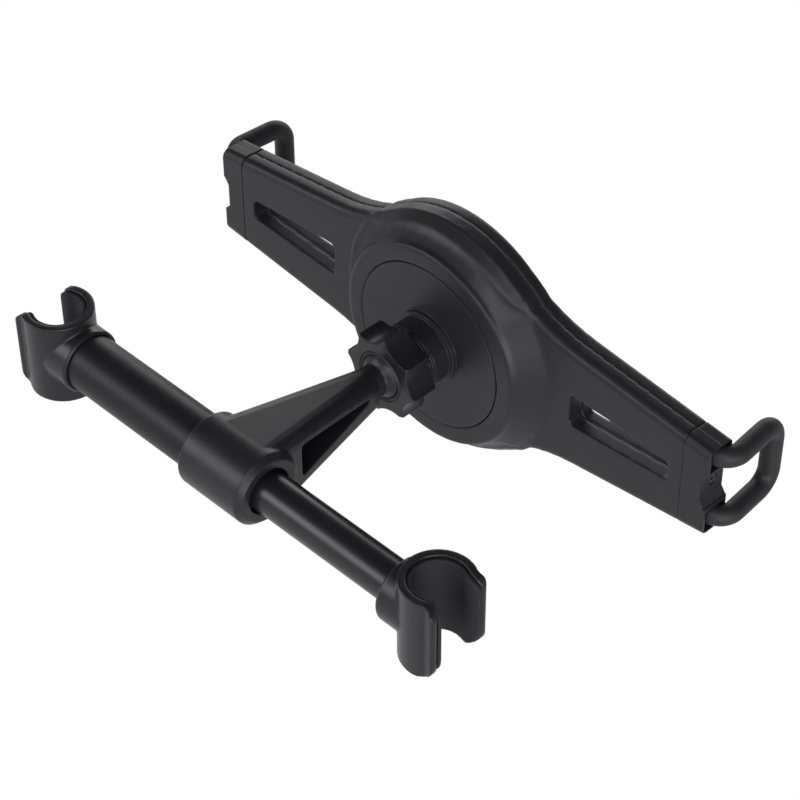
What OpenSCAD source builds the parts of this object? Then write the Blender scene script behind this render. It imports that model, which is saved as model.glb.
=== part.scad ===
// Headrest tablet mount: sprung telescopic bar between two post hooks,
// arm with a ball joint, and a cradle with two jaws moved by a rack and pinion.
// Millimetres. Origin: left post clamp, on the bar's axis. +X to the other
// post, +Y towards the tablet, +Z up along the posts.

/* [Bar] */
// distance between the two post axes
hook_pitch = 159; // [130:1:200]
// outside diameter of the outer tube
tube_d = 18; // [14:0.5:24]
// wall of the outer tube
tube_wall = 1.6; // [1:0.1:3]
// outside diameter of the inner rod
rod_d = 13; // [9:0.5:13.6]
// wall of the inner rod
rod_wall = 1.5; // [1:0.1:3]
// travel of the inner rod into the tube
rod_travel = 35; // [10:1:36]
// length of the bush that guides the rod
bush_l = 14; // [8:1:18]

/* [Hooks] */
// bore of the rubber liner, for the headrest post
post_r = 7.3; // [5:0.1:9]
// thickness of the rubber liner
liner_t = 1.3; // [0.8:0.1:2.5]
// wall of the hook shell
hook_wall = 2.2; // [1.5:0.1:4]
// hook height above the bar axis
hook_up = 13; // [10:0.5:20]
// hook height below the bar axis
hook_down = 14; // [10:0.5:20]
// half of the angle of the opening
hook_half_gap = 55; // [40:1:70]
// radius of the outward lip at each prong tip
lip_r = 3.4; // [2:0.1:6]
// outside radius of the collar beside each hook
collar_r = 10.2; // [9:0.1:14]
// reach of the collar from the post axis
collar_reach = 14; // [12.5:0.5:20]
// length of the spigot inside the tube or rod
spigot_l = 12; // [6:1:20]

/* [Arm] */
// outside radius of the hub on the tube
hub_r = 11.5; // [10.6:0.1:16]
// width of the hub along the bar
hub_w = 26; // [18:1:40]
// chamfer of the hub rims
hub_chamfer = 1.8; // [0.3:0.1:2]
// diameter of the neck behind the ball
neck_d = 10.4; // [8:0.2:11]
// distance from the bar axis to the ball
arm_reach = 61; // [50:1:90]
// radius of the ball
ball_r = 8.5; // [7.5:0.1:9]
// thickness of the web between the side pockets
web_t = 4; // [2:0.5:8]

/* [Ball joint] */
// thickness of the ball liners
ball_liner_t = 1.0; // [0.6:0.1:1.4]
// radius at the knob's ridges
knob_r = 14.5; // [13:0.1:20]
// number of hollow flutes round the knob
knob_flutes = 8; // [5:1:12]
// depth of a flute below the line between two ridges
flute_depth = 1.8; // [0.5:0.1:3]
// length of the knob
knob_l = 9.8; // [8:0.1:14]
// turn of the ridges about the ball joint's axis
knob_turn = 6.6; // [0:0.1:45]
// radius of the threaded neck
thread_r = 10.8; // [10.5:0.1:12]
// radius of the ring at the foot of the threaded neck
boss_r = 12.2; // [11.5:0.1:16]
// radius of the round disc that carries the ball socket
disc_r = 28; // [20:0.5:32]
// thickness of that disc
disc_t = 2.4; // [1.5:0.1:4]

/* [Cradle] */
// distance from the ball to the round top of the cradle
cone_face = 15.4; // [14:0.1:20]
// height of the raised cone above the arms
cone_h = 8.6; // [4:0.1:12]
// radius of the cone's top
cone_top_r = 34.9; // [30:0.1:38]
// radius of the cone's foot
cone_foot_r = 42.5; // [36:0.1:50]
// radius of the round middle of the cradle
body_r = 40; // [36:0.5:50]
// half height of the arms, read on the middle line
arm_h0 = 27.6; // [20:0.1:34]
// loss of half height for each millimetre outwards
arm_taper = 0.116; // [0:0.001:0.2]
// radius of the concave shoulders
shoulder_r = 57; // [20:1:80]
// reach of the shells from the middle
shell_reach = 92; // [80:1:120]
// thickness of the rear shell at the arms
rear_t = 5.5; // [4:0.1:10]
// thickness of the front shell
front_t = 4.5; // [3:0.1:8]
// wall of both shells
shell_wall = 1.8; // [1.2:0.1:3]
// rounding of the rear edges
rear_round = 2.6; // [0.5:0.1:3]
// rounding of the front edges
front_round = 1.2; // [0.3:0.1:2]
// inset of the front shell at the parting line
parting_step = 0.25; // [0:0.05:0.6]
// where each arm slot starts, from the middle
slot_in = 49.5; // [46:0.5:60]
// where each arm slot ends
slot_out = 87; // [70:0.5:90]
// half height of the slot at its inner end
slot_h_in = 6; // [3:0.1:8]
// half height of the slot at its outer end
slot_h_out = 3.6; // [2:0.1:6]
// wall round each slot
slot_wall = 1.3; // [0.8:0.1:2]
// distance of the shell screws from the middle, both ways
screw_at = 21; // [18:0.5:24]
// thickness of the rubber pads on the front
pad_t = 0.8; // [0.4:0.1:2]

/* [Jaws] */
// outward travel of each jaw
jaw_travel = 35; // [10:1:36]
// length of the end block outside the shells
block_l = 9; // [6:0.5:14]
// height of a jaw's rails
rail_h = 4.6; // [3:0.1:6]
// distance from the middle line to a rail
rail_z = 9; // [8.8:0.1:11]
// running clearance of the jaws in the shells
slide_gap = 0.2; // [0.1:0.05:0.4]
// diameter of the coated wire
wire_d = 6.5; // [4:0.1:7]
// half height between the wire's legs
wire_z = 11.4; // [8:0.1:12]
// reach of the wire's first bend beyond the block
wire_out = 3.6; // [2.5:0.1:8]
// height of the wire loop in front of the block's middle
wire_rise = 22.5; // [14:0.5:40]
// inward lean of the loop
wire_lean = 1.8; // [0:0.1:5]
// radius of the wire's bends
wire_bend = 5.5; // [4:0.1:7]

/* [Pinion] */
// module of the teeth
tooth_module = 1; // [0.8:0.05:1.2]
// teeth of the pinion
teeth = 12; // [11:1:14]
// pressure angle of the teeth
pressure = 25; // [20:1:28]
// free play between the flanks
backlash = 0.3; // [0.1:0.05:0.4]
// radius of the post that carries the pinion
post_pin_r = 2; // [1.2:0.1:3]

/* [Hidden] */
$fn = 64;
// seat clearance between pieces that are pressed or glued together
seat = 0.05;
// running clearance of round pieces that turn or slide
run = 0.06;
mid_x = hook_pitch / 2;
tube_r = tube_d / 2;
tube_bore = tube_r - tube_wall;
rod_r = rod_d / 2;
rod_bore = rod_r - rod_wall;
shell_in = post_r + liner_t;
hook_out = shell_in + seat + hook_wall;
plug_depth = 4.6;
tube_start = collar_reach - plug_depth;
bush_end = hub_w / 2 - 3;
stop_l = 8;
face_y = arm_reach + cone_face;
arm_y = face_y + cone_h;
part_y = arm_y + rear_t;
front_y = part_y + front_t;
cavity_a = arm_y + shell_wall;
cavity_b = front_y - shell_wall;
liner_out = ball_r + run + ball_liner_t;
knob_y0 = arm_reach - 4.8;
block_x = shell_reach + block_l;
pitch_r = tooth_module * teeth / 2;
addendum = 0.9 * tooth_module;
dedendum = 1.15 * tooth_module;
rack_z = pitch_r;
black = [0.08, 0.08, 0.085];
dark = [0.05, 0.05, 0.052];
steel = [0.45, 0.45, 0.46];

module at_mid() translate([mid_x, 0, 0]) children();
module along_x() rotate([0, 90, 0]) children();
module along_y() rotate([-90, 0, 0]) children();

// Outline of the cradle: round middle, concave shoulder, straight tapered arm
line_q = sqrt(1 + arm_taper * arm_taper);
sum_r = body_r + shoulder_r;
line_b = arm_h0 + shoulder_r * line_q;
sh_x = (line_b * arm_taper + sqrt(pow(line_b * arm_taper, 2)
    - line_q * line_q * (line_b * line_b - sum_r * sum_r))) / (line_q * line_q);
sh_z = line_b - arm_taper * sh_x;
x_round = body_r * sh_x / sum_r;
x_line = sh_x - shoulder_r * arm_taper / line_q;
function half_h(x) =
    abs(x) < x_round ? sqrt(body_r * body_r - x * x)
    : abs(x) < x_line ? sh_z - sqrt(shoulder_r * shoulder_r - pow(abs(x) - sh_x, 2))
    : arm_h0 - arm_taper * abs(x);

// Cross-section of a shell at one station: y and z of each point, going round
round_steps = 3;
function section(h, ya, yb, r) = concat(
    [[yb, h]], [for (i = [0:round_steps])
        [ya + r - r * sin(i * 90 / round_steps), h - r + r * cos(i * 90 / round_steps)]],
    [for (i = [round_steps:-1:0])
        [ya + r - r * sin(i * 90 / round_steps), -h + r - r * cos(i * 90 / round_steps)]],
    [[yb, -h]]);
function span(a, b, n) = [for (i = [0:n]) a + (b - a) * i / n];
function stations(a, b) = let (p = [for (x = concat(
        span(-x_line, -x_round, 6), span(-x_round, x_round, 8), span(x_round, x_line, 6)))
        if (x > a + 0.5 && x < b - 0.5) x])
    concat([a], [for (i = [0:len(p) - 1]) if (i == 0 || p[i] > p[i - 1] + 0.01) p[i]], [b]);
// Skin through the sections; inset lowers the height, r rounds the edges at ya
module loft_body(a, b, ya, yb, r, inset = 0) {
    xs = stations(a, b);
    m = len(section(10, 0, 5, 1));
    pts = [for (x = xs) for (p = section(half_h(x) - inset, ya, yb, r)) [x, p[0], p[1]]];
    faces = concat(
        [for (i = [0:len(xs) - 2]) for (j = [0:m - 1])
            [i * m + j, (i + 1) * m + j, (i + 1) * m + (j + 1) % m, i * m + (j + 1) % m]],
        [[for (j = [0:m - 1]) j]],
        [[for (j = [m - 1:-1:0]) (len(xs) - 1) * m + j]]);
    if (ya < yb) polyhedron(pts, faces);
    else mirror_y(ya + yb) loft_body(a, b, yb, ya, r, inset);
}
module mirror_y(s) translate([0, s, 0]) mirror([0, 1, 0]) children();

// Slot through an arm, grown by g, from ya to yb
module slot_shape(g) {
    r = 2;
    offset(r = r + g, $fn = 24) offset(delta = -r)
        polygon([[slot_in, -slot_h_in], [slot_out, -slot_h_out],
            [slot_out, slot_h_out], [slot_in, slot_h_in]]);
}
module slot_cut(ya, yb, g = 0) translate([0, yb, 0]) rotate([90, 0, 0])
    linear_extrude(yb - ya) slot_shape(g);
module both() { children(); mirror([1, 0, 0]) children(); }
module screw_spots() for (sx = [-1, 1], sz = [-1, 1]) translate([sx * screw_at, 0, sz * screw_at]) children();

// Hook: ring that wraps the post, opening towards -X in its own frame
module hook_ring(ri, ro, lip) {
    rm = (ri + ro) / 2;
    t = ro - ri;
    difference() {
        circle(ro);
        circle(ri);
        polygon([[0, 0], 40 * [-cos(hook_half_gap), sin(hook_half_gap)],
            [-60, 0], 40 * [-cos(hook_half_gap), -sin(hook_half_gap)]]);
    }
    if (lip > 0) for (s = [-1, 1]) scale_y(s)
        translate((rm + lip_r) * [-cos(hook_half_gap), sin(hook_half_gap)])
            difference() {
                circle(lip_r + t / 2, $fn = 40);
                circle(lip_r - t / 2, $fn = 40);
                rotate(-hook_half_gap + 2) translate([-20, 0]) square([40, 40]);
                rotate(-hook_half_gap - lip) translate([-20, -40]) square([40, 40]);
            }
}
module scale_y(s) if (s > 0) children(); else mirror([0, 1]) children();
// Side outline that rounds the prong tips and the rear of a hook
module hook_side(x0, x1, r_tip, r_low, h_up, h_low) {
    r = 3;
    polygon([[x0, r_low - h_low], [x0 + r_low, -h_low], [x1 - r, -h_low], [x1, r - h_low],
        [x1, h_up - r], [x1 - r, h_up], [x0 + r_tip, h_up], [x0, h_up - r_tip]]);
    translate([x0 + r_tip, h_up - r_tip]) circle(r_tip);
    translate([x0 + r_low, r_low - h_low]) circle(r_low);
    for (z = [h_up - r, r - h_low]) translate([x1 - r, z]) circle(r);
}
module hook_trim(h_up, h_low) rotate([90, 0, 0]) translate([0, 0, -25])
    linear_extrude(50) hook_side(-hook_out - 3, hook_out, 5, 7, h_up, h_low);
// spigot radius fits the bore of the tube or rod that the collar takes
module hook(outer_r, bore_r) {
    difference() {
        union() {
            intersection() {
                translate([0, 0, -hook_down]) linear_extrude(hook_up + hook_down)
                    hook_ring(shell_in + seat, hook_out, 62);
                hook_trim(hook_up, hook_down);
            }
            difference() {
                union() {
                    translate([shell_in + 1, 0, 0]) along_x()
                        cylinder(r = collar_r, h = collar_reach - shell_in - 1 - 0.5);
                    translate([collar_reach - 0.5, 0, 0]) along_x()
                        cylinder(r1 = collar_r, r2 = collar_r - 0.5, h = 0.5);
                    intersection() {
                        along_x() rotate_extrude() polygon(concat([[0, 6], [0, collar_reach - 0.8]],
                            [for (i = [0:6]) let (a = i * 15)
                                [collar_r + 3.2 * (1 - cos(a)), collar_reach - 0.8 - 4.2 * sin(a)]],
                            [[collar_r + 3.2, 6]]));
                        translate([0, -hook_out, -20]) cube([30, 2 * hook_out, 40]);
                    }
                }
                translate([0, 0, -25]) cylinder(r = shell_in + seat, h = 50);
            }
        }
        translate([tube_start, 0, 0]) along_x() cylinder(r = outer_r + seat, h = 20);
    }
    translate([tube_start - 0.1, 0, 0]) along_x() difference() {
        cylinder(r = bore_r - seat, h = spigot_l);
        translate([0, 0, 1.5]) cylinder(r = bore_r - seat - 2, h = spigot_l);
    }
}
module hook_liner() intersection() {
    translate([0, 0, -hook_down + 0.8]) linear_extrude(hook_up + hook_down - 1.6)
        hook_ring(post_r, shell_in, 0);
    hook_trim(hook_up - 0.8, hook_down - 0.8);
}

module left_hook() color(black) hook(tube_r, tube_bore);
module left_hook_liner() color(dark) hook_liner();
module right_hook() color(black) translate([hook_pitch, 0, 0]) mirror([1, 0, 0]) hook(rod_r, rod_bore);
module right_hook_liner() color(dark) translate([hook_pitch, 0, 0]) mirror([1, 0, 0]) hook_liner();

module outer_tube() color(black) translate([tube_start, 0, 0]) along_x() difference() {
    cylinder(r = tube_r, h = mid_x + bush_end - tube_start);
    translate([0, 0, -1]) cylinder(r = tube_bore, h = mid_x + bush_end - tube_start + 2);
}
module tube_bush() color(dark) at_mid() translate([bush_end - bush_l, 0, 0]) along_x() difference() {
    cylinder(r = tube_bore - seat, h = bush_l);
    translate([0, 0, -1]) cylinder(r = rod_r + run, h = bush_l + 2);
}
rod_start = mid_x + bush_end - bush_l - stop_l;
module inner_rod() color(black) translate([rod_start, 0, 0]) along_x() difference() {
    cylinder(r = rod_r, h = hook_pitch - tube_start - rod_start);
    translate([0, 0, -1]) cylinder(r = rod_bore, h = hook_pitch - rod_start);
}
module rod_stop() color(dark) translate([rod_start, 0, 0]) along_x() difference() {
    cylinder(r = tube_bore - run, h = stop_l);
    translate([0, 0, -1]) cylinder(r = rod_r + seat, h = stop_l + 2);
}

// Arm: one moulding of hub, tapered beam with side pockets, neck and ball
module arm_plan() polygon(concat(
    [for (i = [0:8]) let (k = i / 8) [hub_w / 2 - 0.6 - (hub_w / 2 - 0.6 - neck_d / 2) * pow(k, 0.8),
        4 + (arm_reach - 16) * k]],
    [[neck_d / 2, arm_reach - 8], [-neck_d / 2, arm_reach - 8]],
    [for (i = [8:-1:0]) let (k = i / 8) [-hub_w / 2 + 0.6 + (hub_w / 2 - 0.6 - neck_d / 2) * pow(k, 0.8),
        4 + (arm_reach - 16) * k]]));
module arm_side() polygon([[0, -hub_r + 1.2], [0, hub_r], [4, hub_r], [arm_reach - 10, neck_d / 2 + 0.2],
    [arm_reach - 10, -neck_d / 2 + 0.8], [9, -hub_r + 1.2]]);
module pocket() offset(r = 1, $fn = 24) offset(delta = -1)
    polygon([[13.8, 5.6], [13.8, -6.2], [arm_reach - 17, 0.4], [arm_reach - 17, 1.6]]);
module arm() color(black) at_mid() difference() {
    union() {
        translate([-hub_w / 2, 0, 0]) along_x() rotate_extrude() polygon([[0, 0], [hub_r - 0.5, 0],
            [hub_r, 0.5], [hub_r, hub_w - hub_chamfer], [hub_r - hub_chamfer, hub_w], [0, hub_w]]);
        intersection() {
            translate([0, 0, -20]) linear_extrude(40) arm_plan();
            rotate([90, 0, 90]) translate([0, 0, -20]) linear_extrude(40) arm_side();
        }
        translate([0, arm_reach - 22, 0]) along_y() cylinder(d = neck_d, h = 22);
        translate([0, arm_reach, 0]) rotate([90, 0, 0]) sphere(ball_r);
    }
    translate([-hub_w / 2 - 1, 0, 0]) along_x() cylinder(r = tube_r + seat, h = hub_w - 1.8);
    translate([-hub_w / 2 - 1, 0, 0]) along_x() cylinder(r = rod_r + 0.9, h = hub_w + 2);
    both() translate([web_t / 2, 0, 0]) rotate([90, 0, 90]) linear_extrude(20) pocket();
}

// Liner zone of the ball joint between two polar angles, counted from the arm
module ball_zone(a0, a1) translate([0, arm_reach, 0]) rotate([90, 0, 0]) rotate_extrude()
    polygon(concat(
        [for (i = [0:10]) let (a = a0 + (a1 - a0) * i / 10) liner_out * [sin(a), cos(a)]],
        [for (i = [10:-1:0]) let (a = a0 + (a1 - a0) * i / 10) (ball_r + run) * [sin(a), cos(a)]]));
module ball_front_ring() color(dark) at_mid() ball_zone(58, 82);
module ball_rear_cup() color(dark) at_mid() ball_zone(101, 150);

module knob_outline() rotate(knob_turn) difference() {
    circle(knob_r);
    step = 360 / knob_flutes;
    half = knob_r * sin(step / 2);
    fr = (half * half + flute_depth * flute_depth) / (2 * flute_depth);
    for (i = [0:knob_flutes - 1]) rotate((i + 0.5) * step)
        translate([knob_r * cos(step / 2) - flute_depth + fr, 0]) circle(fr);
}
module lock_knob() color(black) at_mid() difference() {
    intersection() {
        translate([0, knob_y0 + knob_l, 0]) rotate([90, 0, 0]) linear_extrude(knob_l) knob_outline();
        translate([0, knob_y0, 0]) along_y() rotate_extrude() polygon([[0, 0], [knob_r - 1, 0],
            [knob_r, 0.9], [knob_r, knob_l - 0.9], [knob_r - 1, knob_l], [0, knob_l]]);
    }
    translate([0, arm_reach, 0]) rotate([90, 0, 0]) sphere(liner_out + run);
    translate([0, arm_reach + 0.4, 0]) along_y() cylinder(r = thread_r + run, h = 20);
}

// Disc with the threaded socket in front and the pinion's thrust boss behind
module socket_disc() color(black) at_mid() difference() {
    union() {
        translate([0, arm_reach + 0.8, 0]) along_y() cylinder(r = thread_r, h = cone_face);
        translate([0, face_y - 1.6, 0]) along_y() cylinder(r = boss_r, h = 2);
        translate([0, face_y, 0]) along_y() cylinder(r = disc_r, h = disc_t);
        translate([0, face_y + disc_t - 0.1, 0]) along_y()
            cylinder(r = pitch_r - 1, h = cavity_a + 2 * slide_gap - face_y - disc_t - 0.1);
    }
    translate([0, arm_reach, 0]) rotate([90, 0, 0]) sphere(liner_out + run);
    translate([0, cavity_a - 2, 0]) along_y() cylinder(r = post_pin_r + seat, h = 10);
}

module cone(r_foot, r_top, ya, yb, e) translate([0, ya, 0]) along_y() rotate_extrude(convexity = 4)
    polygon(concat([[0, 0]], [for (i = [0:4]) let (a = 90 - i * 90 / 4)
        [r_top - e + e * cos(a), e - e * sin(a)]], [[r_foot, yb - ya], [0, yb - ya]]));

module rear_shell() color(black) at_mid() difference() {
    union() {
        difference() {
            union() {
                loft_body(-shell_reach, shell_reach, arm_y, part_y, rear_round);
                intersection() {
                    cone(cone_foot_r, cone_top_r, face_y, arm_y + 0.5, 1.6);
                    loft_body(-cone_foot_r - 4, cone_foot_r + 4, face_y - 1, part_y, 0.5, 0.7);
                }
            }
            loft_body(-shell_reach + 3, shell_reach - 3, cavity_a, part_y + 1, 0.6, shell_wall);
            cone(cone_foot_r - shell_wall - 1, cone_top_r - shell_wall, face_y + disc_t + 1.6,
                cavity_a + 0.1, 0.8);
        }
        intersection() {
            loft_body(-shell_reach, shell_reach, arm_y, part_y, rear_round);
            both() {
                slot_cut(cavity_a - 0.2, part_y, slot_wall);
                for (s = [-1, 1]) scale_z(s) {
                    translate([slot_out - 3, cavity_a - 0.2, rail_z + rail_h + slide_gap])
                        cube([4, part_y - cavity_a + 0.2, 4]);
                    translate([slot_out - 3, cavity_a - 0.2, rail_z - slide_gap - 2.2])
                        cube([4, part_y - cavity_a + 0.2, 2.2]);
                }
            }
        }
        screw_spots() translate([0, face_y + 3, 0]) along_y() cylinder(r = 3.2, h = part_y - face_y - 3);
    }
    translate([0, face_y - 1, 0]) along_y() cylinder(r = disc_r + 0.2, h = disc_t + 1);
    translate([0, face_y - 1, 0]) along_y() cylinder(r = disc_r - 3.5, h = 30);
    both() {
        slot_cut(arm_y - 1, part_y + 1);
        hull() {
            slot_cut(arm_y - 0.2, arm_y, 1.1);
            slot_cut(arm_y + 1, arm_y + 1.1, 0);
        }
        end_channel(cavity_a, part_y + 1);
    }
    screw_spots() translate([0, part_y - 7, 0]) along_y() cylinder(r = 1.2, h = 10);
}
module scale_z(s) if (s > 0) children(); else mirror([0, 0, 1]) children();
// Way out of the shells for the two rails of a jaw
module end_channel(ya, yb) for (s = [-1, 1]) scale_z(s)
    translate([shell_reach - 6, ya, rail_z - slide_gap])
        cube([10, yb - ya, rail_h + 2 * slide_gap]);

module front_shell() color(black) at_mid() difference() {
    union() {
        difference() {
            loft_body(-shell_reach, shell_reach, front_y, part_y, front_round, parting_step);
            loft_body(-shell_reach + 3, shell_reach - 3, cavity_b, part_y - 1, 0.6,
                shell_wall + parting_step);
        }
        both() slot_cut(part_y, cavity_b + 0.2, slot_wall);
        screw_spots() translate([0, part_y, 0]) along_y() cylinder(r = 3.2, h = cavity_b - part_y + 0.2);
        translate([0, cavity_b - slide_gap, 0]) along_y() cylinder(r = pitch_r - 1.6, h = 1);
        translate([0, cavity_a - 1, 0]) along_y() cylinder(r = post_pin_r, h = cavity_b - cavity_a + 2);
    }
    both() {
        slot_cut(part_y - 1, front_y + 1);
        end_channel(part_y - 1, cavity_b);
    }
    screw_spots() {
        translate([0, part_y - 1, 0]) along_y() cylinder(r = 1.6, h = 10);
        translate([0, front_y - 1.6, 0]) along_y() cylinder(r = 2.8, h = 10);
    }
}
module screw(head_r, head_h, shank_r, l) {
    difference() {
        cylinder(r = head_r, h = head_h, $fn = 32);
        translate([0, 0, -0.1]) cylinder(r = head_r * 0.45, h = 0.9, $fn = 6);
    }
    translate([0, 0, head_h - 0.1]) cylinder(r = shank_r, h = l, $fn = 32);
}
module shell_screws() color(steel) at_mid() screw_spots()
    translate([0, front_y - 0.4, 0]) rotate([90, 0, 0]) screw(2.6, 1.15, 1.15, 8.4);
module front_pads() color(dark) at_mid() both() for (s = [-1, 1]) scale_z(s)
    translate([0, front_y + pad_t, 0]) rotate([90, 0, 0]) linear_extrude(pad_t)
        offset(r = 1.5, $fn = 24) offset(delta = -1.5)
            polygon([[slot_in - 4, -11.2], [slot_out, -11.2], [slot_out, -14.6], [slot_in - 4, -18.2]]);

// Involute pinion: flank points from the base circle to the tip
base_r = pitch_r * cos(pressure);
tip_r = pitch_r + addendum;
function inv_angle(r) = let (a = acos(min(1, base_r / r))) tan(a) * 180 / PI - a;
tooth_half = 90 / teeth - backlash / 2 / pitch_r * 90 / PI + inv_angle(pitch_r);
module pinion_outline() {
    circle(pitch_r - dedendum);
    for (i = [0:teeth - 1]) rotate(i * 360 / teeth) polygon(concat(
        [(pitch_r - dedendum - 0.3) * [cos(tooth_half), -sin(tooth_half)]],
        [for (k = [0:4]) let (r = base_r + (tip_r - base_r) * k / 4, a = tooth_half - inv_angle(r))
            r * [cos(a), -sin(a)]],
        [for (k = [4:-1:0]) let (r = base_r + (tip_r - base_r) * k / 4, a = tooth_half - inv_angle(r))
            r * [cos(a), sin(a)]],
        [(pitch_r - dedendum - 0.3) * [cos(tooth_half), sin(tooth_half)]]));
}
rail_a = cavity_a + slide_gap;
rail_b = cavity_b - slide_gap;
module pinion() color(steel) at_mid() translate([0, rail_b - slide_gap, 0]) rotate([90, 0, 0])
    difference() {
        linear_extrude(rail_b - rail_a - 2 * slide_gap) rotate(90) pinion_outline();
        translate([0, 0, -1]) cylinder(r = post_pin_r + run, h = 20);
    }

// Jaw for the right side: rails, rack above the pinion and the end block
rack_inner = -jaw_travel - 4;
rail_inner = slot_in - 2;
tooth_pitch = PI * tooth_module;
module rack_profile() {
    n = ceil((rail_inner - rack_inner) / tooth_pitch);
    lean = tan(pressure);
    half = tooth_pitch / 4 - backlash / 4;
    polygon([[rack_inner, rack_z + dedendum], [9, rack_z + dedendum], [11, rail_z],
        [shell_reach + 1, rail_z], [shell_reach + 1, rail_z + rail_h], [rail_inner, rail_z + rail_h],
        [rail_inner - 6, rail_z + 2], [rack_inner, rail_z + 2]]);
    for (i = [-12:n - 1]) let (x = (i + 0.5) * tooth_pitch)
        if (x - half - dedendum * lean > rack_inner && x < 8) polygon([
            [x - half - dedendum * lean, rack_z + dedendum + 0.05], [x - half + addendum * lean, rack_z - addendum],
            [x + half - addendum * lean, rack_z - addendum], [x + half + dedendum * lean, rack_z + dedendum + 0.05]]);
}
module flat_xz(ya, yb) translate([0, yb, 0]) rotate([90, 0, 0]) linear_extrude(yb - ya) children();
module slide() {
    block_a = shell_reach + 0.15;
    difference() {
        union() {
            flat_xz(rail_a, rail_b) rack_profile();
            flat_xz(rail_a, rail_b) translate([rail_inner, -rail_z - rail_h])
                square([shell_reach - rail_inner + 1, rail_h]);
            loft_body(block_a, block_x, arm_y, part_y, rear_round);
            loft_body(block_a, block_x, front_y, part_y, front_round, parting_step);
        }
        slot_clear();
        block_cuts();
    }
}
// The rails stay clear of the walls round the slot
module slot_clear() slot_cut(rail_a - 1, rail_b + 1, slot_wall + slide_gap);
wire_r = wire_d / 2;
wire_y = part_y - 0.3;
module block_cuts() {
    for (s = [-1, 1]) scale_z(s) {
        translate([block_x - 4.6, wire_y, wire_z]) along_x() cylinder(r = wire_r + seat, h = 10);
        translate([block_x - 2.2, wire_y - wire_r - 0.7, wire_z - wire_r - 0.6])
            cube([5, 2 * wire_r + 1.6, 2 * wire_r + 1.2]);
    }
    flat_xz(arm_y - 1, front_y + 1) polygon([[block_x - 2, -3.4], [block_x - 2, 5], [block_x - 0.6, 6.8],
        [block_x + 2, 6.8], [block_x + 2, -5.8], [block_x - 0.4, -5.8]]);
    translate([block_x - 3.2, wire_y + 0.3, 1.6]) along_x() cylinder(r = 1.9, h = 8);
    translate([block_x - 8, wire_y + 0.3, 1.6]) along_x() cylinder(r = 1.0, h = 10);
}
module block_screw() translate([block_x - 2.3, wire_y + 0.3, 1.6]) rotate([0, -90, 0])
    screw(1.7, 0.9, 0.95, 4);

// Wire swept through corner points, with an arc at each inner corner
function unit(v) = v / norm(v);
function turned_by(v, w, a) = v * cos(a) + cross(w, v) * sin(a) + w * (w * v) * (1 - cos(a));
bend_steps = 6;
ring_n = 24;
// Rings from corner i on: each entry is a centre and the two axes of its ring
function bend_rings(p, i, a, b) = i > len(p) - 2 ? [[p[i], a, b]]
    : let (u = unit(p[i] - p[i - 1]), v = unit(p[i + 1] - p[i]), turn = acos(u * v),
        w = unit(cross(u, v)), start = p[i] - u * wire_bend * tan(turn / 2),
        c = start + cross(w, u) * wire_bend)
    concat([for (k = [0:bend_steps]) let (g = turn * k / bend_steps)
        [c + turned_by(start - c, w, g), turned_by(a, w, g), turned_by(b, w, g)]],
        bend_rings(p, i + 1, turned_by(a, w, turn), turned_by(b, w, turn)));
module wire(p) {
    up = [0, 0, 1];
    side = unit(cross(up, unit(p[1] - p[0])));
    rings = concat([[p[0], side, up]], bend_rings(p, 1, side, up));
    pts = [for (q = rings) for (k = [0:ring_n - 1]) let (g = 360 * k / ring_n)
        q[0] + wire_r * (cos(g) * q[1] + sin(g) * q[2])];
    polyhedron(pts, concat(
        [for (i = [0:len(rings) - 2]) for (k = [0:ring_n - 1]) let (n = (k + 1) % ring_n)
            [i * ring_n + k, (i + 1) * ring_n + k, (i + 1) * ring_n + n, i * ring_n + n]],
        [[for (k = [0:ring_n - 1]) k]],
        [[for (k = [ring_n - 1:-1:0]) (len(rings) - 1) * ring_n + k]]));
}
module loop() {
    x1 = block_x + wire_out;
    wire([[block_x - 4.4, wire_y, wire_z], [x1, wire_y, wire_z],
        [x1 - wire_lean, wire_y + wire_rise, wire_z], [x1 - wire_lean, wire_y + wire_rise, -wire_z],
        [x1, wire_y, -wire_z], [block_x - 4.4, wire_y, -wire_z]]);
}
module right_slide() color(black) at_mid() slide();
module right_loop() color(dark) at_mid() loop();
module right_block_screw() color(steel) at_mid() block_screw();
// The left jaw is the right one turned half round the pinion's axis
module turned() rotate([0, 180, 0]) children();
module left_slide() color(black) at_mid() turned() slide();
module left_loop() color(dark) at_mid() turned() loop();
module left_block_screw() color(steel) at_mid() turned() block_screw();

left_hook();
left_hook_liner();
outer_tube();
tube_bush();
arm();
inner_rod();
rod_stop();
right_hook();
right_hook_liner();
ball_front_ring();
ball_rear_cup();
lock_knob();
socket_disc();
rear_shell();
front_shell();
shell_screws();
front_pads();
pinion();
left_slide();
left_loop();
left_block_screw();
right_slide();
right_loop();
right_block_screw();
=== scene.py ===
# Looks of the headrest tablet mount: finishes, detailed pieces, studio and camera.
import math

import bmesh
import bpy
from bpy.props import FloatProperty, FloatVectorProperty, IntProperty, PointerProperty
from mathutils import Matrix, Vector


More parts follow.
